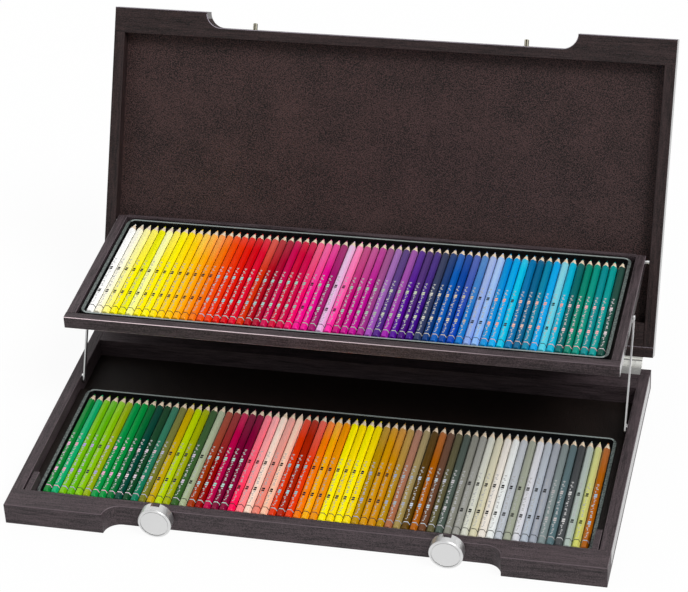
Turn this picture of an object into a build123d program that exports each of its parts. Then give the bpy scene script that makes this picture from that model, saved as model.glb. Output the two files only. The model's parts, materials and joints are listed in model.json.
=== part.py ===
"""Hinged wooden pencil case with a swinging upper tray, shown open.

The case is drawn closed, the way its maker would lay it out, and every moving piece is then
carried to the open rest position: the lid turns about its hinge axis, the tray shifts on two
parallel links and stays level. All lengths are in millimetres, +Z is up, the case's front
faces -Y, and the origin is the middle of the base's underside.
"""
from build123d import *
from math import atan, atan2, cos, degrees, radians, sin, sqrt
import os

os.makedirs("parts", exist_ok=True)

# ---------------------------------------------------------------- driving dimensions
# case
case_width = 608.0
case_depth = 333.0
base_height = 24.0
lid_height = 20.0
side_wall = 11.5
front_rail_depth = 27.0
back_rail_depth = 11.0
batten_depth = 25.0
bottom_thickness = 4.0
lid_panel_thickness = 5.0
panel_lap = 5.0
parting_gap = 0.15
edge_softening = 0.6

# recess along both front edges
recess_width = 402.0
recess_depth = 16.4

# hinges and opening angle
lid_open_angle = 117.5
hinge_setback = 7.7
hinge_width = 21.0
hinge_inset = 9.6
barrel_radius = 5.0
leaf_thickness = 2.0
leaf_sink = 0.1
lid_leaf_cover = 2.0
hinge_pin_radius = 1.6
hinge_screw_radius = 1.1
hinge_screw_head = 2.0
hinge_screw_length = 9.0
hinge_screw_spacing = 12.0
screw_head_slope = 41.0

# swinging tray
tray_side_gap = 3.75
tray_height = 13.5
tray_rail = 10.0
tray_panel_thickness = 3.0
tray_panel_raise = 2.0
tray_panel_lap = 4.0
tray_front_clearance = 1.2
tray_insert_front_gap = 2.5
tray_insert_back_gap = 3.0
tray_sink = 0.8
tray_rear_round = 8.0
tray_back_rail_depth = 5.4
tray_back_rail_inset = 4.1

# links and pivots
link_width = 5.0
link_thickness = 1.5
link_overhang = 6.5
link_tray_gap = 0.65
link_base_lead = 0.7
pivot_pin_radius = 1.25
collar_radius = 2.4
pin_depth = 6.0
tray_pivot_rise = 5.0
tray_pivot_inset = 5.0
link_pin_rise = 2.4

# latch knobs and lid pins
knob_spacing = 294.0
knob_radius = 17.0
knob_depth = 12.0
knob_axis_height = 17.6
knob_front_gap = 1.8
knob_bevel = 1.0
knob_face_radius = 14.7
knob_face_sink = 0.35
knob_ring_width = 0.8
knob_ring_depth = 0.7
knob_neck_radius = 6.5
knob_wall = 4.0
latch_groove_depth = 5.2
latch_pin_radius = 2.4
latch_pin_length = 7.3
latch_pin_rise = 3.2
latch_turn = 90.0
slot_mouth = 9.5
spindle_radius = 3.0
spindle_head_radius = 4.0
spindle_head_thickness = 3.0
spindle_pocket_depth = 4.0

# pencils and their inserts
pencil_length = 175.0
pencil_across_flats = 7.0
pencil_pitch = 8.46
pencil_point = 15.5
lead_tip_radius = 0.6
insert_floor = 1.2
insert_wall = 1.5
insert_side_wall = 3.3
insert_rim = 8.2
insert_corner = 9.0
insert_end_room = 5.2
insert_tip_room = 1.6
insert_side_room = 1.3
lower_insert_front = 37.8
cradle_width = 3.4
cradle_slope = 45.0
insert_least_gap = 0.6

# rest blocks and spacers beside the lower insert
block_width = 6.4
block_length = 32.0
block_wall_gap = 1.5
block_tray_gap = 0.2
spacer_height = 7.0
spacer_gap = 0.5

# clearances
running = 0.06
seat = 0.1
loose = 0.25
face_gap = 0.4

# pencil groups from left to right: name and number of pencils, where None fills up the row
upper_groups = [("yellow", 12), ("red", 13), ("pink", 10), ("violet", 11), ("blue", None), ("teal", 7)]
lower_groups = [("green", 12), ("olive", 6), ("plum", 6), ("terracotta", 8), ("ochre", 6),
                ("brown", 10), ("grey", None), ("metallic", 3)]

# ---------------------------------------------------------------- derived places
front = -case_depth / 2
back = case_depth / 2
half_width = case_width / 2
inner_x = half_width - side_wall
inner_front = front + front_rail_depth
rail_front = back - back_rail_depth
inner_back = rail_front - batten_depth
recess_face = front + recess_depth

lid_rim = base_height + parting_gap
lid_top = lid_rim + lid_height
lid_ceiling = lid_top - lid_panel_thickness

hinge_y = back + hinge_setback
hinge_z = base_height + parting_gap / 2
hinge_x = inner_x - hinge_inset
leaf_front = rail_front + seat

tray_half = inner_x - tray_side_gap
tray_inner_x = tray_half - tray_rail
tray_bottom = base_height - tray_sink
tray_top = tray_bottom + tray_height
tray_front = inner_front + tray_front_clearance
insert_length = insert_end_room + pencil_length + insert_tip_room + 2 * insert_wall
upper_insert_front = tray_front + tray_rail + tray_insert_front_gap
tray_rear_inside = upper_insert_front + insert_length + tray_insert_back_gap
tray_rear = (tray_rear_inside, tray_rear_inside + tray_back_rail_depth)
tray_back = tray_rear[1] + tray_back_rail_inset
tray_pivot_y = tray_back - tray_pivot_inset
tray_pivot_z = tray_bottom + tray_pivot_rise

# the links are as long as the lid's own arm, from the hinge axis to the tray's pivot
closed_rise = tray_pivot_z - hinge_z
closed_reach = hinge_y - tray_pivot_y
link_length = sqrt(closed_reach ** 2 + closed_rise ** 2)
closed_angle = degrees(atan2(closed_rise, closed_reach))
open_angle = closed_angle + lid_open_angle
swing_y = link_length * (cos(radians(closed_angle)) - cos(radians(open_angle)))
swing_z = link_length * (sin(radians(open_angle)) - sin(radians(closed_angle)))

link_inner_x = tray_half + link_tray_gap
link_outer_x = link_inner_x + link_thickness
tray_pivot = (tray_pivot_y, tray_pivot_z)
link_base = (tray_pivot_y - link_base_lead, tray_bottom + link_pin_rise - closed_rise)
link_top = (link_base[0] - closed_reach, link_base[1] + closed_rise)

knob_face = front + knob_front_gap
knob_rear = knob_face + knob_depth
knob_seat = recess_face - face_gap
spindle_seat = knob_face + knob_wall
latch_pin_z = lid_rim + latch_pin_rise
groove_radius = latch_pin_z - knob_axis_height
groove_width = 2 * (latch_pin_radius + loose)

pencil_side = pencil_across_flats / sqrt(3)
pencil_drop = insert_floor + pencil_across_flats / 2 + running

# poses that take the closed case to its open rest position
lid_pose = Pos(0, hinge_y, hinge_z) * Rot(-lid_open_angle, 0, 0) * Pos(0, -hinge_y, -hinge_z)
tray_pose = Pos(0, swing_y, swing_z)
closed = Pos(0, 0, 0)


def finish(piece, name, pose=closed):
    """Carry a finished piece to its rest place, name it and write it."""
    placed = piece.part.moved(pose)
    placed.label = name
    export_step(placed, f"parts/{name}.step")


def middle(span):
    return (span[0] + span[1]) / 2


def reach(span):
    return span[1] - span[0]


def board(x_span, y_span, z_span, softened=None, panel=None):
    """A straight board. softened is the axis of its long edges; panel is the seat cut for a panel."""
    with BuildPart() as piece:
        with BuildSketch(Plane.XY.offset(z_span[0])):
            with Locations((middle(x_span), middle(y_span))):
                Rectangle(reach(x_span), reach(y_span))
        extrude(amount=reach(z_span))
        if softened:
            chamfer(piece.edges().filter_by(softened), edge_softening)
        if panel:
            with BuildSketch(Plane.XY.offset(panel[2][0])):
                with Locations((middle(panel[0]), middle(panel[1]))):
                    Rectangle(reach(panel[0]), reach(panel[1]))
            extrude(amount=reach(panel[2]), mode=Mode.SUBTRACT)
    return piece


def drill_side(piece, sign, face_x, place, radius, depth):
    """Drill a blind hole into a side rail along X, from the face at face_x."""
    with BuildPart() as drilled:
        add(piece.part)
        with BuildSketch(Plane.YZ.offset(face_x)):
            with Locations(place):
                Circle(radius)
        extrude(amount=sign * depth, mode=Mode.SUBTRACT)
    return drilled


def front_rail(z_span, panel):
    """The front rail of the base or the lid, with the coved recess along its face."""
    with BuildPart() as rail:
        with BuildSketch(Plane.XY.offset(z_span[0])):
            with Locations((0, middle((front, inner_front)))):
                Rectangle(case_width, front_rail_depth)
        extrude(amount=reach(z_span))
        with BuildSketch(Plane.XY.offset(z_span[0])) as recess:
            with Locations((0, recess_face)):
                Rectangle(recess_width, 2 * recess_depth, align=(Align.CENTER, Align.MAX))
            fillet(recess.vertices().group_by(Axis.Y)[-1], recess_depth)
        extrude(amount=reach(z_span), mode=Mode.SUBTRACT)
        outline = rail.faces().sort_by(Axis.Z)
        chamfer(outline[-1].edges().sort_by(Axis.Y)[:-1] + outline[0].edges().sort_by(Axis.Y)[:-1],
                edge_softening)
        with BuildSketch(Plane.XY.offset(panel[2][0])):
            with Locations((middle(panel[0]), middle(panel[1]))):
                Rectangle(reach(panel[0]), reach(panel[1]))
        extrude(amount=reach(panel[2]), mode=Mode.SUBTRACT)
    return rail


def grown(span, room):
    return (span[0] - room, span[1] + room)


# ---------------------------------------------------------------- base
bottom_x = grown((-inner_x, inner_x), panel_lap)
bottom_y = (inner_front - panel_lap, inner_back + panel_lap)
bottom_z = (0, bottom_thickness)
bottom_seat = (grown(bottom_x, seat), grown(bottom_y, seat), bottom_z)
base_z = (0, base_height)

finish(board(bottom_x, bottom_y, bottom_z), "base_bottom_panel")

with BuildPart() as base_front:
    add(front_rail(base_z, bottom_seat).part)
    for knob_x in (-knob_spacing / 2, knob_spacing / 2):
        with BuildSketch(Plane.XZ.offset(-inner_front)):
            with Locations((knob_x, knob_axis_height)):
                Circle(spindle_radius + running)
        extrude(amount=front_rail_depth, mode=Mode.SUBTRACT)
        with BuildSketch(Plane.XZ.offset(-inner_front)):
            with Locations((knob_x, knob_axis_height)):
                Circle(spindle_head_radius + face_gap)
        extrude(amount=spindle_pocket_depth, mode=Mode.SUBTRACT)
finish(base_front, "base_front_rail")

for side, sign in (("left", -1), ("right", 1)):
    x_span = sorted((sign * inner_x, sign * half_width))
    rail = board(x_span, (inner_front, rail_front), base_z, Axis.Y, bottom_seat)
    rail = drill_side(rail, sign, sign * inner_x, link_base, pivot_pin_radius + running, pin_depth + seat)
    finish(rail, f"base_{side}_side")


def leaf_pockets(rail, z_span, into):
    """Cut the pockets that take the hinge leaves, and the holes for what holds them."""
    with BuildPart() as cut:
        add(rail.part)
        for sign in (-1, 1):
            with BuildSketch(Plane.XY.offset(z_span[0])):
                with Locations((sign * hinge_x, middle((rail_front, back)))):
                    Rectangle(hinge_width + 2 * seat, back_rail_depth)
            extrude(amount=reach(z_span), mode=Mode.SUBTRACT)
            with BuildSketch(Plane.XY.offset(middle(z_span))):
                with Locations((sign * hinge_x, middle((rail_front, back)))):
                    with GridLocations(hinge_screw_spacing, 1, 2, 1):
                        Circle(hinge_screw_radius + running)
            extrude(amount=into * hinge_screw_length, mode=Mode.SUBTRACT)
    return cut


base_leaf_z = (base_height - leaf_sink - leaf_thickness, base_height - leaf_sink)
lid_leaf_z = (lid_rim + lid_leaf_cover, lid_rim + lid_leaf_cover + leaf_thickness)
back_x = (-half_width, half_width)

base_back = board(back_x, (rail_front, back), base_z, Axis.X)
finish(leaf_pockets(base_back, (base_leaf_z[0], base_height), -1), "base_back_rail")
finish(board((-inner_x, inner_x), (inner_back, rail_front), base_z, None, bottom_seat),
       "base_hinge_batten")

block_z = (bottom_thickness, tray_bottom - block_tray_gap)
block_outer = inner_x - block_wall_gap


def filled(groups, room):
    """The groups with the open one grown until the row of pencils fills the room between walls."""
    wanted = int((room - 2 * (insert_side_room + insert_side_wall + insert_least_gap)) / pencil_pitch)
    fixed = sum(int(count) for name, count in groups if count)
    return [(name, int(count) if count else wanted - fixed) for name, count in groups]


upper_row = filled(upper_groups, 2 * tray_inner_x)
lower_row = filled(lower_groups, 2 * (block_outer - block_width))
upper_count = sum(count for name, count in upper_row)
lower_count = sum(count for name, count in lower_row)


def insert_half_width(count):
    """Half the outer width of an insert that holds this many pencils."""
    return (count * pencil_pitch) / 2 + insert_side_room + insert_side_wall


lower_half = insert_half_width(lower_count)
lower_front = front + lower_insert_front
lower_back = lower_front + insert_length

for side, sign in (("left", -1), ("right", 1)):
    block_x = sorted((sign * (block_outer - block_width), sign * block_outer))
    block_y = (inner_front, inner_front + block_length)
    finish(board(block_x, block_y, block_z, Axis.Y), f"base_{side}_rest_block")
    spacer_x = sorted((sign * (lower_half + spacer_gap), sign * (inner_x - spacer_gap)))
    spacer_y = (block_y[1] + spacer_gap, lower_back)
    finish(board(spacer_x, spacer_y, (bottom_thickness, bottom_thickness + spacer_height)),
           f"base_{side}_spacer")

# ---------------------------------------------------------------- lid
panel_z = (lid_ceiling, lid_top)
panel_seat = (bottom_seat[0], bottom_seat[1], panel_z)
lid_z = (lid_rim, lid_top)

finish(board(bottom_x, bottom_y, panel_z), "lid_panel", lid_pose)

with BuildPart() as lid_front:
    add(front_rail(lid_z, panel_seat).part)
    with BuildSketch(Plane.XZ.offset(-recess_face)):
        with GridLocations(knob_spacing, 1, 2, 1) as places:
            with Locations((0, latch_pin_z)):
                Circle(latch_pin_radius + running)
    extrude(amount=-pin_depth - seat, mode=Mode.SUBTRACT)
finish(lid_front, "lid_front_rail", lid_pose)

for side, sign in (("left", -1), ("right", 1)):
    x_span = sorted((sign * inner_x, sign * half_width))
    rail = board(x_span, (inner_front, rail_front), lid_z, Axis.Y, panel_seat)
    rail = drill_side(rail, sign, sign * inner_x, tray_pivot, pivot_pin_radius + running, pin_depth + seat)
    finish(rail, f"lid_{side}_side", lid_pose)
    with BuildPart() as latch_pin:
        with BuildSketch(Plane.XZ.offset(-recess_face - pin_depth)):
            with Locations((sign * knob_spacing / 2, latch_pin_z)):
                Circle(latch_pin_radius)
        extrude(amount=pin_depth + latch_pin_length)
        chamfer(latch_pin.edges().sort_by(Axis.Y)[0], latch_pin_radius / 4)
    finish(latch_pin, f"lid_{side}_latch_pin", lid_pose)

lid_back = board(back_x, (rail_front, back), lid_z, Axis.X)
finish(leaf_pockets(lid_back, grown(lid_leaf_z, leaf_sink), 1), "lid_back_rail", lid_pose)
finish(board((-inner_x, inner_x), (inner_back, rail_front), lid_z, None, panel_seat),
       "lid_hinge_batten", lid_pose)

# ---------------------------------------------------------------- hinges
knuckle_gap = loose
knuckle_width = (hinge_width - 2 * knuckle_gap) / 3


def hinge_leaf(centre_x, z_span, own_knuckles, countersunk):
    """One leaf: a drilled plate with knuckles round the hinge axis, cut clear of the other's."""
    start_x = centre_x - hinge_width / 2
    with BuildPart() as leaf:
        with BuildSketch(Plane.XY.offset(z_span[0])):
            with Locations((centre_x, middle((leaf_front, hinge_y)))):
                Rectangle(hinge_width, reach((leaf_front, hinge_y)))
        extrude(amount=reach(z_span))
        for index in range(3):
            knuckle_x = start_x + index * (knuckle_width + knuckle_gap)
            own = index in own_knuckles
            radius = barrel_radius if own else barrel_radius + loose
            spare = 0 if own else knuckle_gap
            with BuildSketch(Plane.YZ.offset(knuckle_x - spare)):
                with Locations((hinge_y, hinge_z)):
                    Circle(radius)
            extrude(amount=knuckle_width + 2 * spare, mode=Mode.ADD if own else Mode.SUBTRACT)
        with BuildSketch(Plane.YZ.offset(start_x)):
            with Locations((hinge_y, hinge_z)):
                Circle(hinge_pin_radius + running)
        extrude(amount=hinge_width, mode=Mode.SUBTRACT)
        with Locations(Plane.XY.offset(z_span[1])):
            with Locations((centre_x, middle((rail_front, back)))):
                with GridLocations(hinge_screw_spacing, 1, 2, 1):
                    if countersunk:
                        CounterSinkHole(hinge_screw_radius + running, hinge_screw_head + running)
                    else:
                        Hole(hinge_screw_radius + running)
    return leaf


def hinge_fixings(level, into, head_radius):
    """Screws, or plain pins where the head is no wider than the shank, that hold both leaves."""
    with BuildPart() as fixings:
        for sign in (-1, 1):
            place = Plane((sign * hinge_x, middle((rail_front, back)), level), z_dir=(0, 0, -into))
            if head_radius > hinge_screw_radius:
                with BuildSketch(place):
                    with GridLocations(hinge_screw_spacing, 1, 2, 1):
                        Circle(head_radius)
                extrude(amount=-(head_radius - hinge_screw_radius), taper=screw_head_slope)
            with BuildSketch(place):
                with GridLocations(hinge_screw_spacing, 1, 2, 1):
                    Circle(hinge_screw_radius)
            extrude(amount=-hinge_screw_length)
    return fixings


for side, sign in (("left", -1), ("right", 1)):
    finish(hinge_leaf(sign * hinge_x, base_leaf_z, (0, 2), True), f"hinge_{side}_base_leaf")
    finish(hinge_leaf(sign * hinge_x, lid_leaf_z, (1,), False), f"hinge_{side}_lid_leaf", lid_pose)
    with BuildPart() as hinge_pin:
        with BuildSketch(Plane.YZ.offset(sign * hinge_x - hinge_width / 2)):
            with Locations((hinge_y, hinge_z)):
                Circle(hinge_pin_radius)
        extrude(amount=hinge_width)
    finish(hinge_pin, f"hinge_{side}_pin")
finish(hinge_fixings(base_leaf_z[1], -1, hinge_screw_head), "base_hinge_screws")
finish(hinge_fixings(lid_leaf_z[0], 1, hinge_screw_radius), "lid_hinge_fixing_pins", lid_pose)

# ---------------------------------------------------------------- swinging tray
tray_z = (tray_bottom, tray_top)
tray_panel_z = (tray_bottom + tray_panel_raise, tray_bottom + tray_panel_raise + tray_panel_thickness)
tray_panel_x = grown((-tray_inner_x, tray_inner_x), tray_panel_lap)
tray_panel_y = (tray_front + tray_rail - tray_panel_lap, tray_rear[0] + tray_panel_lap)
tray_seat = (grown(tray_panel_x, seat), grown(tray_panel_y, seat), grown(tray_panel_z, 0))

finish(board(tray_panel_x, tray_panel_y, tray_panel_z), "tray_bottom_panel", tray_pose)
finish(board((-tray_half, tray_half), (tray_front, tray_front + tray_rail), tray_z, Axis.X, tray_seat),
       "tray_front_rail", tray_pose)


def round_rear(piece):
    """Round a side rail's rear top edge, which swings past the lid's panel as the tray turns."""
    with BuildPart() as rounded:
        add(piece.part)
        top_edges = rounded.edges().filter_by(Axis.X).filter_by_position(Axis.Y, tray_back - seat, back)
        fillet(top_edges.sort_by(Axis.Z)[-1], tray_rear_round)
    return rounded


finish(board((-tray_inner_x, tray_inner_x), tray_rear, tray_z, None, tray_seat), "tray_back_rail",
       tray_pose)

for side, sign in (("left", -1), ("right", 1)):
    x_span = sorted((sign * tray_inner_x, sign * tray_half))
    rail = board(x_span, (tray_front + tray_rail, tray_back), tray_z, Axis.Y, tray_seat)
    rail = drill_side(rail, -sign, sign * tray_half, link_top,
                      pivot_pin_radius + running, pin_depth + seat)
    rail = drill_side(rail, -sign, sign * tray_half, tray_pivot, pivot_pin_radius + running,
                      pin_depth + seat)
    finish(round_rear(rail), f"tray_{side}_side", tray_pose)

# ---------------------------------------------------------------- links and pivot pins
link_plane = Plane((0, link_base[0], link_base[1]), z_dir=(1, 0, 0),
                   x_dir=(0, -cos(radians(open_angle)), sin(radians(open_angle))))


def pivot_pins(spans, place):
    """A pair of pins along X, one each side. spans lists (radius, nearest x, farthest x)."""
    with BuildPart() as pins:
        for sign in (-1, 1):
            for radius, near, far in spans:
                with BuildSketch(Plane.YZ.offset(sign * near)):
                    with Locations(place):
                        Circle(radius)
                extrude(amount=sign * (far - near))
    return pins


for side, sign in (("left", -1), ("right", 1)):
    start = link_inner_x if sign > 0 else -link_outer_x
    with BuildPart() as link:
        with BuildSketch(link_plane.offset(start)):
            with Locations((link_length / 2, 0)):
                SlotOverall(link_length + 2 * link_overhang, link_width)
            with Locations((0, 0)):
                Circle(pivot_pin_radius + running, mode=Mode.SUBTRACT)
            with Locations((link_length, 0)):
                Circle(pivot_pin_radius + loose, mode=Mode.SUBTRACT)
        extrude(amount=link_thickness)
    finish(link, f"link_{side}")

finish(pivot_pins([(pivot_pin_radius, link_inner_x - seat, inner_x + pin_depth),
                   (collar_radius, link_outer_x + seat, inner_x - running)], link_base),
       "link_base_pins")
finish(pivot_pins([(pivot_pin_radius, tray_half - pin_depth, link_outer_x + seat),
                   (link_pin_rise - seat, tray_half, link_inner_x - seat)], link_top),
       "link_tray_pins", tray_pose)
finish(pivot_pins([(pivot_pin_radius, tray_half - pin_depth, inner_x + pin_depth),
                   (collar_radius, tray_half + loose, inner_x - running)], tray_pivot),
       "tray_pivot_pins", lid_pose)

# ---------------------------------------------------------------- latch knobs
latch_sweep = Edge.make_circle(groove_radius, start_angle=90, end_angle=90 + latch_turn)

for side, sign in (("left", -1), ("right", 1)):
    axis = Plane((sign * knob_spacing / 2, knob_face, knob_axis_height), z_dir=(0, -1, 0), x_dir=(1, 0, 0))
    with BuildPart() as knob:
        with BuildSketch(axis):
            Circle(knob_radius)
        extrude(amount=-knob_depth)
        chamfer(knob.faces().sort_by(Axis.Y)[0].edges(), knob_bevel)
        with BuildSketch(axis):
            Circle(knob_face_radius)
        extrude(amount=-knob_face_sink, mode=Mode.SUBTRACT)
        with BuildSketch(axis):
            Circle(knob_face_radius)
            Circle(knob_face_radius - knob_ring_width, mode=Mode.SUBTRACT)
        extrude(amount=-(knob_face_sink + knob_ring_depth), mode=Mode.SUBTRACT)
        with BuildSketch(axis.offset(-knob_depth)):
            Circle(knob_neck_radius)
        extrude(amount=-(knob_seat - knob_rear))
        with BuildSketch(axis.offset(-knob_depth)):
            SlotArc(latch_sweep, groove_width)
            with BuildLine():
                Polyline((-groove_width / 2, groove_radius), (-slot_mouth / 2, knob_radius + seat),
                         (slot_mouth / 2, knob_radius + seat), (groove_width / 2, groove_radius),
                         close=True)
            make_face()
        extrude(amount=latch_groove_depth, mode=Mode.SUBTRACT)
        with BuildSketch(axis.offset(-(knob_seat - knob_face))):
            Circle(spindle_radius + running)
        extrude(amount=knob_seat - spindle_seat, mode=Mode.SUBTRACT)
    finish(knob, f"{side}_knob")
    with BuildPart() as spindle:
        with BuildSketch(axis.offset(-knob_wall - seat)):
            Circle(spindle_radius)
        extrude(amount=-(inner_front - spindle_pocket_depth - spindle_seat))
        with BuildSketch(Plane.XZ.offset(-(inner_front - spindle_pocket_depth + seat))):
            with Locations((sign * knob_spacing / 2, knob_axis_height)):
                Circle(spindle_head_radius)
        extrude(amount=-spindle_head_thickness)
    finish(spindle, f"{side}_knob_spindle")


# ---------------------------------------------------------------- inserts and pencils
def pencil_insert(count, front_y, floor_z):
    """A thin-walled insert with round corners and a low ridge each side of every pencil."""
    half = insert_half_width(count)
    centre = (0, front_y + insert_length / 2)
    with BuildPart() as insert:
        with BuildSketch(Plane.XY.offset(floor_z)):
            with Locations(centre):
                RectangleRounded(2 * half, insert_length, insert_corner)
        extrude(amount=insert_rim)
        with BuildSketch(Plane.XY.offset(floor_z + insert_floor)):
            with Locations(centre):
                RectangleRounded(2 * (half - insert_side_wall), insert_length - 2 * insert_wall,
                                 insert_corner - insert_side_wall)
        extrude(amount=insert_rim, mode=Mode.SUBTRACT)
        ridge_start = front_y + insert_wall + insert_end_room
        with BuildSketch(Plane.XZ.offset(-ridge_start)):
            with Locations((0, floor_z + insert_floor)):
                with GridLocations(pencil_pitch, 1, count - 1, 1):
                    Triangle(a=cradle_width, B=cradle_slope, C=cradle_slope, align=(Align.CENTER, Align.MIN))
        extrude(amount=-(pencil_length - pencil_point))
    return insert


def pencil_group(count, first, total, butt_y, axis_z):
    """Neighbouring pencils, one flat up, from their dipped ends to their sharpened points."""
    shaft = pencil_length - pencil_point
    places = [((first + index - (total - 1) / 2) * pencil_pitch, 0) for index in range(count)]
    ends = Plane((0, butt_y, axis_z), x_dir=(1, 0, 0), z_dir=(0, 1, 0))
    with BuildPart() as pencils:
        with BuildSketch(ends):
            with Locations(places):
                RegularPolygon(pencil_side, 6)
        extrude(amount=shaft)
        with BuildSketch(ends.offset(shaft)):
            with Locations(places):
                RegularPolygon(pencil_side, 6)
        slope = degrees(atan((pencil_across_flats / 2 - lead_tip_radius) / pencil_point))
        extrude(amount=pencil_point, taper=slope)
    return pencils


layers = [("lower", lower_row, lower_count, lower_front, bottom_thickness, closed),
          ("upper", upper_row, upper_count, upper_insert_front, tray_panel_z[1], tray_pose)]
for level, groups, total, front_y, floor_z, pose in layers:
    finish(pencil_insert(total, front_y, floor_z), f"{level}_insert", pose)
    first = 0
    for name, count in groups:
        butt_y = front_y + insert_wall + insert_end_room
        finish(pencil_group(count, first, total, butt_y, floor_z + pencil_drop),
               f"{level}_pencils_{name}", pose)
        first += count
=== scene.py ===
"""Dressed scene of the pencil case: materials, coloured pencils, camera and light."""
import json
import math
import bpy
from mathutils import Euler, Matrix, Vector


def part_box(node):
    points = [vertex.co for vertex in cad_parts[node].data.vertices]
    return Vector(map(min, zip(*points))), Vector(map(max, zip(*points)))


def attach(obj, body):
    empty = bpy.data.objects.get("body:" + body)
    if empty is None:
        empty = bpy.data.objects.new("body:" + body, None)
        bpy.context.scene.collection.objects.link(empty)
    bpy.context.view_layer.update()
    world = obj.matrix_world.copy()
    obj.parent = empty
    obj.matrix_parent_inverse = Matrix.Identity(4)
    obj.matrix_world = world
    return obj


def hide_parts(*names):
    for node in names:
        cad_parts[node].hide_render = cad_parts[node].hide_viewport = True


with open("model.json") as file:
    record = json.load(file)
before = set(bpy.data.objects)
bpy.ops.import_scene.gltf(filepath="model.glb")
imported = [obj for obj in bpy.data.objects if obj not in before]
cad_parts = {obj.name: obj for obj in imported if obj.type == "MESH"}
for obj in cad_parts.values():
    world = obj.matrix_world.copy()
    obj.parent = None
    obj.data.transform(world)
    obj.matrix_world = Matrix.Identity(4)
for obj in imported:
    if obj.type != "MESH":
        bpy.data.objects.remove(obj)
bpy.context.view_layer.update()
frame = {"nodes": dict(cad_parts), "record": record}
MM = 0.001
nodes = frame["nodes"]
slot_of = {row["node"]: row["material_slot"] for row in frame["record"]["subparts"]}
LID_TILT = math.radians(117.5)


# ------------------------------------------------------------------ shader helpers
class Value:
    """A node output that takes part in sums with numbers and other outputs."""

    def __init__(self, paint, socket):
        self.paint = paint
        self.socket = socket

    def _sum(self, operation, *others):
        node = self.paint.tree.nodes.new("ShaderNodeMath")
        node.operation = operation
        for place, value in enumerate((self,) + others):
            self.paint.put(node.inputs[place], value)
        return Value(self.paint, node.outputs[0])

    def __add__(self, other):
        return self._sum("ADD", other)

    def __sub__(self, other):
        return self._sum("SUBTRACT", other)

    def __mul__(self, other):
        return self._sum("MULTIPLY", other)

    def above(self, other):
        return self._sum("GREATER_THAN", other)

    def below(self, other):
        return self._sum("LESS_THAN", other)

    def size(self):
        return self._sum("ABSOLUTE")

    def larger(self, other):
        return self._sum("MAXIMUM", other)


class Paint:
    """One material. Plain numbers go on the shader's own sockets, patterns are wired."""

    def __init__(self, name, **plain):
        self.material = bpy.data.materials.new(name)
        self.material.use_nodes = True
        self.tree = self.material.node_tree
        self.shader = self.tree.nodes["Principled BSDF"]
        for socket, value in plain.items():
            self.wire(socket, value)

    def put(self, socket, value):
        if isinstance(value, Value):
            self.tree.links.new(value.socket, socket)
        else:
            socket.default_value = value

    def wire(self, socket, value):
        self.put(self.shader.inputs[socket.replace("_", " ")], value)

    def node(self, kind, output=0, settings=(), **inputs):
        made = self.tree.nodes.new(kind)
        for key, value in dict(settings).items():
            setattr(made, key, value)
        for socket, value in inputs.items():
            self.put(made.inputs[socket.replace("_", " ")], value)
        return Value(self, made.outputs[output])

    def place(self, scale, turn=(0, 0, 0)):
        """Object coordinates, turned and then scaled, for a pattern that stays on the piece."""
        coordinates = self.node("ShaderNodeTexCoord", "Object")
        turned = self.node("ShaderNodeMapping", Vector=coordinates, Rotation=turn)
        return self.node("ShaderNodeMapping", Vector=turned, Scale=scale)

    def facing(self, turn=(0, 0, 0)):
        """The surface direction along X, Y and Z, turned as the pattern is."""
        direction = self.node("ShaderNodeTexCoord", "Normal")
        turned = self.node("ShaderNodeMapping", Vector=direction, Rotation=turn)
        return [self.node("ShaderNodeSeparateXYZ", axis, Vector=turned) for axis in "XYZ"]

    def noise(self, where, scale=1.0, detail=2.0, roughness=0.5):
        return self.node("ShaderNodeTexNoise", 0, Vector=where, Scale=scale, Detail=detail,
                         Roughness=roughness)

    def blend(self, factor, dark, light):
        made = self.tree.nodes.new("ShaderNodeMix")
        made.data_type = "RGBA"
        self.put(made.inputs[0], factor)
        self.put(made.inputs[6], dark)
        self.put(made.inputs[7], light)
        return Value(self, made.outputs[2])

    def spread(self, factor, low, high):
        return self.node("ShaderNodeMapRange", Value=factor, From_Min=low, From_Max=high)

    def bump(self, height, distance, strength=1.0):
        self.wire("Normal", self.node("ShaderNodeBump", Height=height, Distance=distance,
                                      Strength=strength))


def colour(red, green, blue):
    """Linear colour from the usual 0 to 255 values."""
    def linear(level):
        level = level / 255
        return level / 12.92 if level <= 0.04045 else ((level + 0.055) / 1.055) ** 2.4
    return (linear(red), linear(green), linear(blue), 1.0)


# ------------------------------------------------------------------ materials of the case
# how far from the middle, in metres, the ends begin that are rubbed to a shine
CASE_END, TRAY_END, COVE_END, NOWHERE = 0.3035, 0.288, 0.19, 1.0
SHINE_FROM = 6 * MM
ALONG_X, ALONG_Y = 0, 1


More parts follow.
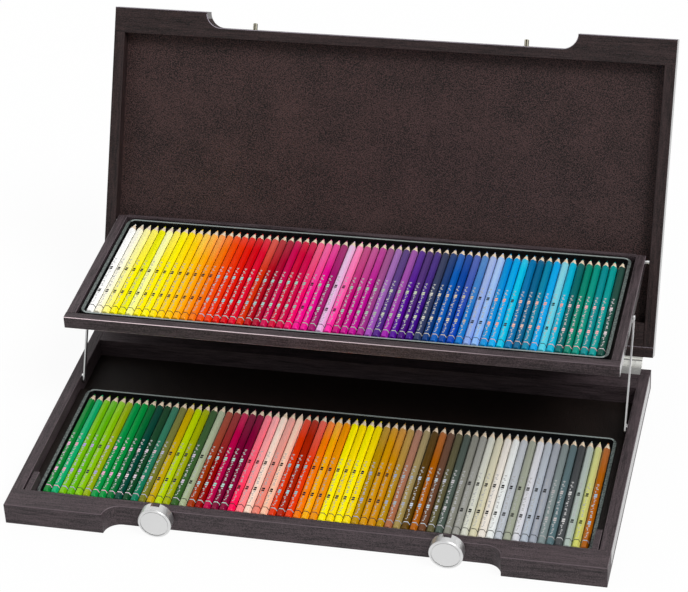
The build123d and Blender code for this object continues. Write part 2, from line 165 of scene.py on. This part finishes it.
def wood(name, along, tilt, dark, light, edge_highlight, rubbed, far_edge_highlight=None, front_edge_highlight=None):
    """Dark stained open-grain wood. along is the grain's axis; tilt turns it with the lid.

    Faces towards +X that lie farther out than rubbed are rubbed to a shine. The softened
    edges are painted with a highlight colour, which turns into the far edge highlight towards
    +X. Those that look forward have the front edge highlight, if it is given, and the front
    faces are then duller."""
    paint = Paint(name, IOR=1.45, Specular_IOR_Level=0.35)
    turn = (tilt, 0, 0)
    stretch = [1.0, 1.0, 1.0]
    stretch[along] = 0.06
    fine = paint.noise(paint.place([520 * s for s in stretch], turn), detail=4, roughness=0.7)
    speck = paint.noise(paint.place((1, 1, 1), turn), scale=950, detail=2, roughness=0.7)
    broad = paint.noise(paint.place([90 * s for s in stretch], turn), detail=2)
    pores = paint.noise(paint.place([1300 * s for s in stretch], turn), detail=1)
    tone = paint.spread(fine * 0.4 + speck * 0.5 + broad * 0.1, 0.4, 0.6)
    deep = paint.spread(pores, 0.6, 0.7)
    grain = paint.blend(deep * 0.35, paint.blend(tone, dark, light),
                        [0.4 * level for level in dark[:3]] + [1.0])
    facing = paint.facing(turn)
    largest = facing[0].size().larger(facing[1].size()).larger(facing[2].size())
    edge_way = facing[1].size().below(0.05) if along == ALONG_Y else facing[2].size().above(0.3)
    softened = largest.below(0.9) * edge_way
    where = paint.node("ShaderNodeTexCoord", "Object")
    across = paint.node("ShaderNodeSeparateXYZ", "X", Vector=where)
    # the softened edges are painted in a highlight colour: painted highlight
    if far_edge_highlight:
        edge_highlight = paint.blend(paint.spread(across, -0.02, 0.2), edge_highlight, far_edge_highlight)
    if front_edge_highlight:
        edge_highlight = paint.blend(facing[1].below(-0.1), edge_highlight, front_edge_highlight)
    paint.wire("Base_Color", paint.blend(softened, grain, edge_highlight))
    height = paint.node("ShaderNodeSeparateXYZ", "Z", Vector=where)
    shine = facing[0].above(0.9) * across.size().above(rubbed) * height.above(SHINE_FROM)
    roughness = tone * 0.12 + 0.46 - shine * 0.18
    if front_edge_highlight:
        roughness = roughness + facing[1].below(-0.05) * facing[2].size().below(0.3) * 0.4
    paint.wire("Coat_Weight", shine * 0.7)
    paint.wire("Roughness", roughness)
    paint.bump(fine * 0.6 + speck * 0.4 - deep * 0.5, 0.0002)
    return paint.material


def grained_board(name, dark, light, tilt):
    """Thin board with an even, leather-like grain over soft blotches."""
    paint = Paint(name, Roughness=0.55, IOR=1.45, Specular_IOR_Level=0.3)
    turn = (tilt, 0, 0)
    fine = paint.noise(paint.place((1, 1, 1), turn), scale=800, detail=3, roughness=0.7)
    blotch = paint.noise(paint.place((1, 1, 1), turn), scale=28, detail=2, roughness=0.5)
    tone = paint.spread(fine * 0.88 + blotch * 0.12, 0.42, 0.58)
    paint.wire("Base_Color", paint.blend(tone, dark, light))
    paint.bump(fine, 0.0005)
    return paint.material


SIDE_LIP, RIM_DEPTH = 4.0 * MM, 0.5 * MM


def insert_plastic(name, high):
    """Dark formed sheet with a painted highlight on its rim, lightest on the front lip and mottled
    on the side lips. high is the insert's far upper corner.
    """
    paint = Paint(name, Roughness=0.4, IOR=1.5, Specular_IOR_Level=0.4)
    where = paint.node("ShaderNodeTexCoord", "Object")
    height = paint.node("ShaderNodeSeparateXYZ", "Z", Vector=where)
    across = paint.node("ShaderNodeSeparateXYZ", "X", Vector=where)
    mottle = paint.spread(paint.noise(where, scale=500, detail=3), 0.35, 0.65)
    side_lip_highlight = paint.blend(mottle, colour(52, 59, 58), colour(112, 122, 118))
    lip_highlight = paint.blend(across.size().above(high.x - SIDE_LIP), colour(150, 160, 158), side_lip_highlight)
    # the rim band is painted in the highlight colours; below it is the sheet's own dark colour
    rim = height.above(high.z - RIM_DEPTH)
    paint.wire("Base_Color", paint.blend(rim, colour(10, 11, 13), lip_highlight))
    return paint.material


def metal(name, shade, roughness, scratch_scale, flat_top_painted_shade=None, metallic=1.0):
    """Bright metal, turned or brushed; flat tops may be painted darker, as painted shade."""
    paint = Paint(name, Metallic=metallic, Base_Color=shade)
    fine = paint.noise(paint.place(scratch_scale), detail=2)
    paint.wire("Roughness", fine * 0.12 + roughness)
    if flat_top_painted_shade:
        paint.wire("Base_Color", paint.blend(paint.facing()[2].above(0.97), shade, flat_top_painted_shade))
    return paint.material


# the edge colours are painted highlights along the softened edges
wood_dark, wood_light, wood_edge_highlight = colour(16, 11, 13), colour(88, 75, 79), colour(96, 84, 89)
# the lid's wood is the case's wood painted darker: painted shade, for the lid's faces that look
# forward and get less light
lid_shaded_dark, lid_shaded_light, lid_edge_highlight = colour(7, 2, 2), colour(60, 45, 45), colour(46, 34, 34)
side_wood = wood("side_wood", ALONG_Y, 0.0, wood_dark, wood_light, wood_edge_highlight, CASE_END)
rail_wood = wood("rail_wood", ALONG_X, 0.0, wood_dark, wood_light, wood_edge_highlight, NOWHERE)
tray_side_wood = wood("tray_side_wood", ALONG_Y, 0.0, wood_dark, wood_light, wood_edge_highlight, TRAY_END)
# the tray rails' edges carry a bright painted highlight, fading to the plain edge highlight towards
# +X
tray_rail_wood = wood("tray_rail_wood", ALONG_X, 0.0, wood_dark, wood_light,
                      colour(226, 205, 210), TRAY_END, far_edge_highlight=wood_edge_highlight)
lid_side_wood = wood("lid_side_wood", ALONG_Y, LID_TILT, lid_shaded_dark, lid_shaded_light, lid_edge_highlight, CASE_END)
# the lid rails' forward-looking edges carry a pale painted highlight
lid_rail_wood = wood("lid_rail_wood", ALONG_X, LID_TILT, lid_shaded_dark, lid_shaded_light, lid_edge_highlight, COVE_END,
                     front_edge_highlight=colour(150, 142, 152))
base_board = grained_board("base_board", colour(8, 4, 2), colour(28, 18, 15), 0.0)
# the lid's board is painted darker as well, as painted shade for the lid, over its own grain
lid_board = grained_board("lid_board", colour(3, 0, 0), colour(74, 53, 52), LID_TILT)
knob_metal = metal("knob_metal", colour(222, 222, 222), 0.34, (60, 60, 900))
# the hinge's flat tops, its leaf, are painted grey as painted shade
hinge_metal = metal("hinge_metal", colour(252, 252, 246), 0.3, (900, 60, 60),
                    flat_top_painted_shade=colour(176, 176, 174), metallic=0.4)
link_metal = metal("link_metal", colour(250, 250, 250), 0.25, (700, 700, 30))
pin_metal = metal("pin_metal", colour(240, 240, 240), 0.08, (60, 60, 60))
# a polished pin: the dark studio's reflection is painted into its colour as dark stripes along it
latch_metal = Paint("latch_metal", Metallic=0.8, Roughness=0.3)
aside = latch_metal.facing((LID_TILT, 0, 0))[0].size()
painted_reflection_stripes = aside.below(0.25).larger(aside.above(0.8))
latch_metal.wire("Base_Color",
                 latch_metal.blend(painted_reflection_stripes, colour(196, 191, 172), colour(70, 66, 56)))


def dress(name):
    """The material of one piece of the case."""
    slot = slot_of[name]
    if slot == "insert_plastic":
        return insert_plastic(name + "_plastic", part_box(name)[1])
    if slot == "bright_metal":
        return latch_metal.material if "latch_pin" in name else knob_metal
    if slot == "brushed_metal":
        if "pins" in name:
            return pin_metal
        return link_metal if "link" in name else hinge_metal
    if slot == "dark_panel":
        return lid_board if name.startswith("lid") else base_board
    if name.startswith("lid"):
        return lid_side_wood if "side" in name else lid_rail_wood
    if name.startswith("tray"):
        return tray_side_wood if "side" in name else tray_rail_wood
    return side_wood if "side" in name else rail_wood


for name, piece in nodes.items():
    if "pencils" not in name:
        piece.data.materials.clear()
        piece.data.materials.append(dress(name))


# ------------------------------------------------------------------ coloured pencils
def coloured(name, attribute, **plain):
    """A paint whose colour is kept with each pencil."""
    paint = Paint(name, IOR=1.5, **plain)
    kept = paint.node("ShaderNodeAttribute", "Color", {"attribute_name": attribute})
    paint.wire("Base_Color", kept)
    return paint


cedar = Paint("pencil_wood", Roughness=0.7, Specular_IOR_Level=0.3)
cedar_grain = cedar.noise(cedar.place((900, 60, 900)), detail=2)
cedar.wire("Base_Color", cedar.blend(cedar_grain, colour(226, 196, 158), colour(255, 242, 222)))
gloss = coloured("pencil_paint", "tint", Roughness=0.34, Specular_IOR_Level=0.3)
# the paint is more saturated near the dipped end and paler behind: painted sheen, for the lid's
# reflection on the pencils' rear
sheen_free_end = gloss.node("ShaderNodeAttribute", "Fac", {"attribute_name": "sheen_free_end"})
sheen_graded_tint = gloss.node("ShaderNodeHueSaturation", Saturation=sheen_free_end * 0.35 + 1.0,
                    Color=gloss.node("ShaderNodeAttribute", "Color", {"attribute_name": "tint"}))
gloss.wire("Base_Color", sheen_graded_tint)
COATS = [gloss,
         coloured("pencil_ring", "ring", Roughness=0.4, Specular_IOR_Level=0.2),
         cedar,
         coloured("pencil_lead", "core", Roughness=0.5, Specular_IOR_Level=0.2),
         coloured("pencil_marks", "ink", Roughness=0.4, Specular_IOR_Level=0.2)]
PAINT, RING, CEDAR, LEAD, MARK = range(5)

PALETTE = {
    "white": (255, 255, 255), "ivory": (250, 242, 224), "cream": (246, 240, 165),
    "lemon": (248, 236, 100), "green_lemon": (230, 228, 20), "pale_cream": (252, 246, 175),
    "yellow": (255, 232, 90), "bright_yellow": (255, 235, 50), "cadmium_yellow": (248, 222, 25),
    "warm_yellow": (255, 208, 55), "yellow_orange": (252, 200, 85), "pale_orange": (246, 178, 80),
    "peach": (240, 158, 85), "orange": (236, 125, 60), "red_orange": (232, 86, 45),
    "scarlet": (228, 70, 50), "red": (220, 55, 50), "deep_red": (206, 45, 50),
    "pink_red": (216, 55, 70), "brick": (210, 90, 80), "dark_red": (174, 60, 65),
    "crimson": (165, 48, 65), "magenta_red": (195, 40, 85), "carmine": (200, 45, 70),
    "carmine_red": (198, 50, 85), "light_pink": (228, 100, 135), "pink_magenta": (234, 105, 160),
    "magenta": (224, 78, 150), "dark_magenta": (158, 55, 110), "lilac_pink": (224, 188, 220),
    "pink": (246, 136, 186), "mauve_rose": (190, 82, 132), "rose": (190, 88, 146),
    "bright_magenta": (184, 72, 148), "mauve_pink": (156, 88, 138),
    "light_violet": (160, 112, 176), "dark_violet": (92, 70, 126), "orchid": (156, 88, 162),
    "violet": (92, 55, 142), "dark_mauve": (82, 58, 115), "blue_violet": (78, 58, 128),
    "payne": (60, 66, 92), "indigo": (46, 68, 116), "cobalt": (50, 98, 174),
    "ultramarine": (44, 78, 154), "mid_blue_violet": (84, 102, 174), "mid_blue": (88, 134, 192),
    "pale_blue": (162, 180, 222), "lilac_blue": (168, 196, 236), "sky": (0, 140, 208),
    "cyan": (0, 162, 224), "light_cyan": (48, 192, 226), "dark_blue": (0, 112, 168),
    "prussian": (20, 96, 136), "turquoise_blue": (0, 128, 162), "pale_turquoise": (134, 206, 220),
    "turquoise": (0, 174, 206), "deep_teal": (20, 98, 98), "green": (0, 126, 104),
    "emerald": (0, 142, 124), "teal": (0, 134, 138), "teal_turquoise": (0, 148, 144),
    "black_green": (38, 70, 62), "dark_emerald": (0, 126, 48), "turquoise_green": (10, 168, 108),
    "light_green": (120, 184, 25), "leaf": (105, 178, 45), "yellow_green": (138, 192, 45),
    "olive_lime": (146, 170, 35), "bright_emerald": (5, 144, 66), "mid_green": (0, 142, 60),
    "dark_green": (24, 106, 55), "blackish_teal": (20, 68, 55), "blackish_green": (34, 68, 45),
    "dark_teal": (60, 118, 95), "olive_grey": (116, 118, 66), "golden": (190, 162, 30),
    "lime": (182, 205, 20), "deep_lime": (158, 168, 28), "blackish_olive": (62, 90, 55),
    "grey_green": (166, 176, 150), "rose_brown": (154, 80, 66), "red_brown": (146, 62, 62),
    "crimson_magenta": (184, 50, 85), "purple_red": (122, 38, 62), "plum": (128, 32, 62),
    "rose_pink": (244, 130, 146), "salmon_light": (246, 170, 172), "cream_pink": (248, 222, 208),
    "salmon": (230, 164, 155), "flesh": (250, 208, 188), "warm_red": (220, 80, 62),
    "dark_brown_red": (168, 54, 42), "light_red_brown": (224, 102, 88),
    "terracotta": (238, 134, 66), "tan_ochre": (242, 176, 66), "dark_orange": (230, 144, 20),
    "mid_yellow": (255, 234, 0), "straw": (244, 218, 15), "umber": (180, 142, 56),
    "gold_brown": (206, 150, 50), "tan": (200, 144, 68), "light_brown": (178, 144, 82),
    "mauve_brown": (166, 122, 104), "grey_beige": (158, 142, 104), "sepia": (88, 66, 34),
    "rust": (170, 102, 55), "violet_brown": (104, 76, 62), "dark_olive_grey": (92, 88, 66),
    "blue_grey_dark": (78, 88, 82), "grey": (132, 132, 124), "mid_grey": (150, 150, 145),
    "warm_grey_light": (205, 206, 196), "beige_grey": (206, 202, 180),
    "warm_white": (226, 220, 212), "cool_white": (228, 230, 228),
    "light_blue_grey": (186, 190, 196), "olive_grey_light": (156, 160, 146),
    "white_grey": (210, 210, 214), "blue_grey": (178, 184, 192), "slate": (158, 162, 170),
    "mid_slate": (126, 136, 136), "dark_slate": (92, 110, 114), "black": (70, 72, 74),
    "silver": (170, 180, 174), "gold": (200, 202, 136), "copper": (172, 102, 54),
}

UPPER = """white ivory cream lemon green_lemon pale_cream yellow bright_yellow cadmium_yellow
warm_yellow yellow_orange pale_orange peach orange red_orange scarlet red deep_red pink_red brick
dark_red crimson magenta_red carmine carmine_red light_pink pink_magenta magenta dark_magenta
lilac_pink pink mauve_rose rose bright_magenta mauve_pink light_violet dark_violet orchid violet
dark_mauve blue_violet payne indigo cobalt ultramarine mid_blue_violet mid_blue pale_blue
lilac_blue sky cyan light_cyan dark_blue prussian turquoise_blue cyan pale_turquoise turquoise
deep_teal green emerald teal teal_turquoise black_green""".split()

LOWER = """dark_emerald turquoise_green light_green leaf yellow_green olive_lime bright_emerald
mid_green dark_green blackish_teal blackish_green dark_teal olive_grey golden lime deep_lime
blackish_olive grey_green rose_brown red_brown crimson_magenta purple_red plum rose_pink
salmon_light cream_pink salmon flesh warm_red dark_brown_red light_red_brown terracotta tan_ochre
dark_orange mid_yellow straw mid_yellow straw umber gold_brown tan light_brown mauve_brown
grey_beige sepia rust violet_brown dark_olive_grey blue_grey_dark grey mid_grey warm_grey_light
beige_grey warm_white cool_white light_blue_grey olive_grey_light white_grey blue_grey slate
mid_slate dark_slate black silver gold copper""".split()

# sizes of a pencil in millimetres, along it from its dipped end
LENGTH, FLATS = 175.0, 7.0
BUTT, DIP_END, RING_END, SHEEN_FREE_END = -1.2, 8.2, 9.3, 70.0
POINT, LEAD_POINT, LEAD_TIP = 15.5, 5.2, 0.45
MARKS_START, MARKS_END = 13.0, 101.0
BOLD_PAIRS = ((31.0, 37.0), (76.0, 83.0))
# the dip and the ring lie on the paint; the six edges are rounded to this share of the corner
DIPPED, RINGED, ROUNDED = 1.012, 1.016, 0.975
AROUND = 24


def pencil_mesh():
    """One six-sided pencil lying along +Y, one flat up, in metres, its dipped end at the origin."""
    across, corner = FLATS / 2, FLATS / math.sqrt(3)

    def outline(scale=1.0, round_to=0.0):
        ring = []
        for step in range(AROUND):
            turn = 2 * math.pi * step / AROUND
            off_flat = (turn + math.pi / 6) % (math.pi / 3) - math.pi / 6
            reach = min(across / math.cos(off_flat), ROUNDED * corner)
            ring.append((turn, (round_to or reach) * scale))
        return ring

    def at(ring, along):
        """Points of a ring; along is a number, or a rule that gives it from the ring's radius."""
        points = []
        for turn, reach in ring:
            y = along(reach) if callable(along) else along
            points.append((reach * math.sin(turn) * MM, y * MM, reach * math.cos(turn) * MM))
        return points

    verts, faces, kinds, smooth = [], [], [], []

    def strip(rings, kind, soft=False):
        start = len(verts)
        for ring in rings:
            verts.extend(ring)
        for row in range(len(rings) - 1):
            for step in range(AROUND):
                a = start + row * AROUND + step
                b = start + row * AROUND + (step + 1) % AROUND
                faces.append((a, b, b + AROUND, a + AROUND))
                kinds.append(kind)
                smooth.append(soft)

    def cap(ring, kind, outward):
        start = len(verts)
        verts.extend(ring)
        order = list(range(start, start + AROUND))
        faces.append(order if outward else order[::-1])
        kinds.append(kind)
        smooth.append(False)

    full, dipped, ringed = outline(), outline(DIPPED), outline(RINGED)
    cone_start = corner * ROUNDED

    def on_cone(radius):
        return LENGTH - POINT * radius / cone_start

    lead_radius = cone_start * LEAD_POINT / POINT
    cap(at(outline(0.7), BUTT), PAINT, False)
    strip([at(outline(0.7), BUTT), at(outline(0.92), BUTT + 0.4), at(dipped, BUTT + 1.5)],
          PAINT, True)
    strip([at(dipped, BUTT + 1.5), at(dipped, DIP_END)], PAINT)
    strip([at(ringed, DIP_END), at(ringed, RING_END)], RING)
    strip([at(full, RING_END), at(full, on_cone)], PAINT)
    strip([at(full, on_cone), at(outline(1.0, lead_radius), on_cone)], CEDAR, True)
    strip([at(outline(1.0, lead_radius), on_cone), at(outline(1.0, LEAD_TIP), on_cone)],
          LEAD, True)
    cap(at(outline(1.0, LEAD_TIP), on_cone), LEAD, True)

    def mark(kind, start, end, left, right):
        """A plain bar on the top flat."""
        top, sink = (across + 0.04) * MM, (across - 0.1) * MM
        base = len(verts)
        for z in (sink, top):
            for x, y in ((left, start), (right, start), (right, end), (left, end)):
                verts.append((x * MM, y * MM, z))
        for ring in ((4, 5, 6, 7), (0, 1, 5, 4), (1, 2, 6, 5), (2, 3, 7, 6), (3, 0, 4, 7)):
            faces.append([base + v for v in ring])
            kinds.append(kind)
            smooth.append(False)

    # plain bars of changing length and spacing, and two bolder pairs among them
    place, count = MARKS_START, 0
    while place < MARKS_END:
        if any(start < place < end for start, end in BOLD_PAIRS):
            mark(RING, place + 0.4, place + 2.6, -1.5, 1.5)
            mark(RING, place + 3.3, place + 5.9, -1.3, 1.5)
            place += 8.2
            continue
        length = (1.2, 2.0, 0.7, 1.5, 2.4)[count % 5]
        middle = (-0.6, 0.3, 0.1, 0.7, -0.2, -0.8, 0.5)[count % 7]
        half = (0.8, 0.5, 1.1)[count % 3]
        mark(MARK, place, place + length, middle - half, middle + half)
        place += length + (0.8, 1.7, 1.0, 2.4)[count % 4]
        count += 1

    mesh = bpy.data.meshes.new("pencil")
    mesh.from_pydata(verts, [], faces)
    for paint in COATS:
        mesh.materials.append(paint.material)
    mesh.polygons.foreach_set("material_index", kinds)
    mesh.polygons.foreach_set("use_smooth", smooth)
    mesh.update()
    # marks the front part of each pencil, where the painted sheen is left off
    sheen_free_end = mesh.attributes.new("sheen_free_end", "FLOAT", "POINT")
    sheen_free_end.data.foreach_set("value", [float(v[1] < SHEEN_FREE_END * MM) for v in verts])
    return mesh


FULL = 255
WHITE = (FULL, FULL, FULL)
SATURATION, BRIGHTNESS = 0.98, 1.04
LIGHT_PAINT = 148


def mixed_colour(first, second, share):
    return [a + (b - a) * share for a, b in zip(first, second)]


def coat_colours(name):
    """The paint, and the marks, ring and lead that go with it: dark on light, light on dark."""
    paint = PALETTE[name]
    mean = sum(paint) / 3
    vivid = [min(max((mean + (level - mean) * SATURATION) * BRIGHTNESS, 0), FULL)
             for level in paint]
    counter = [FULL - level for level in vivid]
    lightness = 0.3 * paint[0] + 0.59 * paint[1] + 0.11 * paint[2]
    if lightness > LIGHT_PAINT:
        ring = [0.3 * level for level in counter]
        ink = mixed_colour(mixed_colour(vivid, WHITE, 0.45), counter, 0.28)
    else:
        ring = mixed_colour(counter, WHITE, 0.45)
        ink = mixed_colour(mixed_colour(counter, WHITE, 0.6), vivid, 0.2)
    core = mixed_colour(vivid, WHITE, 0.1)
    return {"tint": vivid, "ring": ring, "ink": ink, "core": core}


def row_tree():
    """Geometry nodes that lay the pencil on every point and keep each point's colours."""
    tree = bpy.data.node_groups.new("pencil_row", "GeometryNodeTree")
    tree.interface.new_socket("Places", in_out="INPUT", socket_type="NodeSocketGeometry")
    tree.interface.new_socket("Pencil", in_out="INPUT", socket_type="NodeSocketObject")
    tree.interface.new_socket("Row", in_out="OUTPUT", socket_type="NodeSocketGeometry")
    came_in = tree.nodes.new("NodeGroupInput")
    went_out = tree.nodes.new("NodeGroupOutput")
    pencil = tree.nodes.new("GeometryNodeObjectInfo")
    spread = tree.nodes.new("GeometryNodeInstanceOnPoints")
    solid = tree.nodes.new("GeometryNodeRealizeInstances")
    tree.links.new(came_in.outputs["Pencil"], pencil.inputs["Object"])
    tree.links.new(came_in.outputs["Places"], spread.inputs["Points"])
    tree.links.new(pencil.outputs["Geometry"], spread.inputs["Instance"])
    tree.links.new(spread.outputs["Instances"], solid.inputs["Geometry"])
    tree.links.new(solid.outputs["Geometry"], went_out.inputs["Row"])
    return tree


def input_named(tree, name):
    for item in tree.interface.items_tree:
        if item.item_type == "SOCKET" and item.in_out == "INPUT" and item.name == name:
            return item.identifier
    raise KeyError(name)


def lay_row(level, names, body, tree, pencil):
    """A whole row of pencils in the place of that row's CAD nodes."""
    cad = sorted(n for n in nodes if n.startswith(level + "_pencils"))
    low = Vector([min(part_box(n)[0][axis] for n in cad) for axis in range(3)])
    high = Vector([max(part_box(n)[1][axis] for n in cad) for axis in range(3)])
    half = FLATS / math.sqrt(3) * MM
    first, last = low.x + half, high.x - half
    middle = (low.z + high.z) / 2
    places = bpy.data.meshes.new(level + "_places")
    count = len(names)
    places.from_pydata([(first + (last - first) * i / (count - 1), low.y, middle)
                        for i in range(count)], [], [])
    for part in ("tint", "ring", "ink", "core"):
        kept = places.attributes.new(part, "FLOAT_COLOR", "POINT")
        for item, name in zip(kept.data, names):
            item.color = colour(*coat_colours(name)[part])
    maker = bpy.data.objects.new(level + "_row_maker", places)
    bpy.context.scene.collection.objects.link(maker)
    modifier = maker.modifiers.new("row", "NODES")
    modifier.node_group = tree
    modifier[input_named(tree, "Pencil")] = pencil
    bpy.context.view_layer.update()
    laid = maker.evaluated_get(bpy.context.evaluated_depsgraph_get())
    done = bpy.data.meshes.new_from_object(laid)
    bpy.data.objects.remove(maker)
    row = bpy.data.objects.new(level + "_pencil_row", done)
    bpy.context.scene.collection.objects.link(row)
    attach(row, body)
    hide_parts(*cad)
    return row


pencil = bpy.data.objects.new("pencil", pencil_mesh())
bpy.context.scene.collection.objects.link(pencil)
rows = row_tree()
lay_row("upper", UPPER, "tray", rows, pencil)
lay_row("lower", LOWER, "base", rows, pencil)
bpy.data.objects.remove(pencil)


# ------------------------------------------------------------------ floor, light and camera
FLOOR_SIZE, FLOOR_DROP, FLOOR_GLOW = 12.0, 0.2 * MM, 0.94
SKY_ON_OBJECT, SKY_SEEN, SKY_BEHIND_CAMERA = 0.62, 1.0, 0.35

floor_paint = Paint("floor", Base_Color=(0.9, 0.9, 0.9, 1), Roughness=0.9)
glow = floor_paint.node("ShaderNodeEmission", Color=(1, 1, 1, 1), Strength=1.0)
rays = floor_paint.tree.nodes.new("ShaderNodeLightPath")
seen = Value(floor_paint, rays.outputs["Is Camera Ray"]).larger(
    Value(floor_paint, rays.outputs["Is Glossy Ray"]))
mixed = floor_paint.tree.nodes.new("ShaderNodeMixShader")
surface = floor_paint.tree.nodes["Material Output"].inputs["Surface"]
floor_paint.put(mixed.inputs[0], seen * FLOOR_GLOW)
floor_paint.tree.links.new(floor_paint.shader.outputs[0], mixed.inputs[1])
floor_paint.tree.links.new(glow.socket, mixed.inputs[2])
floor_paint.tree.links.new(mixed.outputs[0], surface)
bpy.ops.mesh.primitive_plane_add(size=FLOOR_SIZE, location=(0, 0, -FLOOR_DROP))
floor = bpy.context.object
floor.name = "floor"
floor.data.materials.append(floor_paint.material)

world = bpy.data.worlds.new("studio")
world.use_nodes = True
bpy.context.scene.world = world
sky = world.node_tree
background = sky.nodes["Background"]
background.inputs["Color"].default_value = (1, 1, 1, 1)
path = sky.nodes.new("ShaderNodeLightPath")
either = sky.nodes.new("ShaderNodeMath")
either.operation = "MAXIMUM"
sky.links.new(path.outputs["Is Camera Ray"], either.inputs[0])
sky.links.new(path.outputs["Is Glossy Ray"], either.inputs[1])
level = sky.nodes.new("ShaderNodeMapRange")
level.inputs["To Min"].default_value = SKY_ON_OBJECT
level.inputs["To Max"].default_value = SKY_SEEN
sky.links.new(either.outputs[0], level.inputs["Value"])
# the studio is dimmer behind the camera, which only the object sees
direction = sky.nodes.new("ShaderNodeTexCoord")
parts = sky.nodes.new("ShaderNodeSeparateXYZ")
sky.links.new(direction.outputs["Generated"], parts.inputs[0])
front = sky.nodes.new("ShaderNodeMapRange")
front.inputs["From Min"].default_value = -1.0
front.inputs["From Max"].default_value = -0.3
front.inputs["To Min"].default_value = SKY_BEHIND_CAMERA
sky.links.new(parts.outputs["Y"], front.inputs["Value"])
open_to = sky.nodes.new("ShaderNodeMath")
open_to.operation = "MAXIMUM"
sky.links.new(front.outputs[0], open_to.inputs[0])
sky.links.new(path.outputs["Is Camera Ray"], open_to.inputs[1])
strength = sky.nodes.new("ShaderNodeMath")
strength.operation = "MULTIPLY"
sky.links.new(level.outputs[0], strength.inputs[0])
sky.links.new(open_to.outputs[0], strength.inputs[1])
sky.links.new(strength.outputs[0], background.inputs["Strength"])

sun_data = bpy.data.lights.new("key", "SUN")
sun_data.energy = 1.9
sun_data.angle = math.radians(25)
sun = bpy.data.objects.new("key", sun_data)
sun.rotation_euler = Euler((math.radians(28), math.radians(26), math.radians(20)))
bpy.context.scene.collection.objects.link(sun)

# the photograph's view, from a fit of the case's corners to the picture: the focal length, the
# centre and the picture's size in pixels, the turn in degrees and the place in millimetres
FOCAL, CENTRE_U, CENTRE_V, WIDE, HIGH = 2630.23, 250.0, 380.0, 688.0, 592.0
CAMERA_TURN = (54.825, 3.719, 14.161)
CAMERA_PLACE = (549.681, -2106.686, 1630.345)
SENSOR = 36.0
camera_data = bpy.data.cameras.new("camera")
camera_data.sensor_width = SENSOR
camera_data.lens = FOCAL * SENSOR / WIDE
camera_data.shift_x = (WIDE / 2 - CENTRE_U) / WIDE
camera_data.shift_y = (CENTRE_V - HIGH / 2) / WIDE
camera_data.clip_end = 50
camera = bpy.data.objects.new("camera", camera_data)
camera.rotation_euler = Euler([math.radians(turn) for turn in CAMERA_TURN], "XYZ")
camera.location = [place * MM for place in CAMERA_PLACE]
bpy.context.scene.collection.objects.link(camera)
bpy.context.scene.camera = camera
bpy.context.scene.view_settings.view_transform = "Standard"
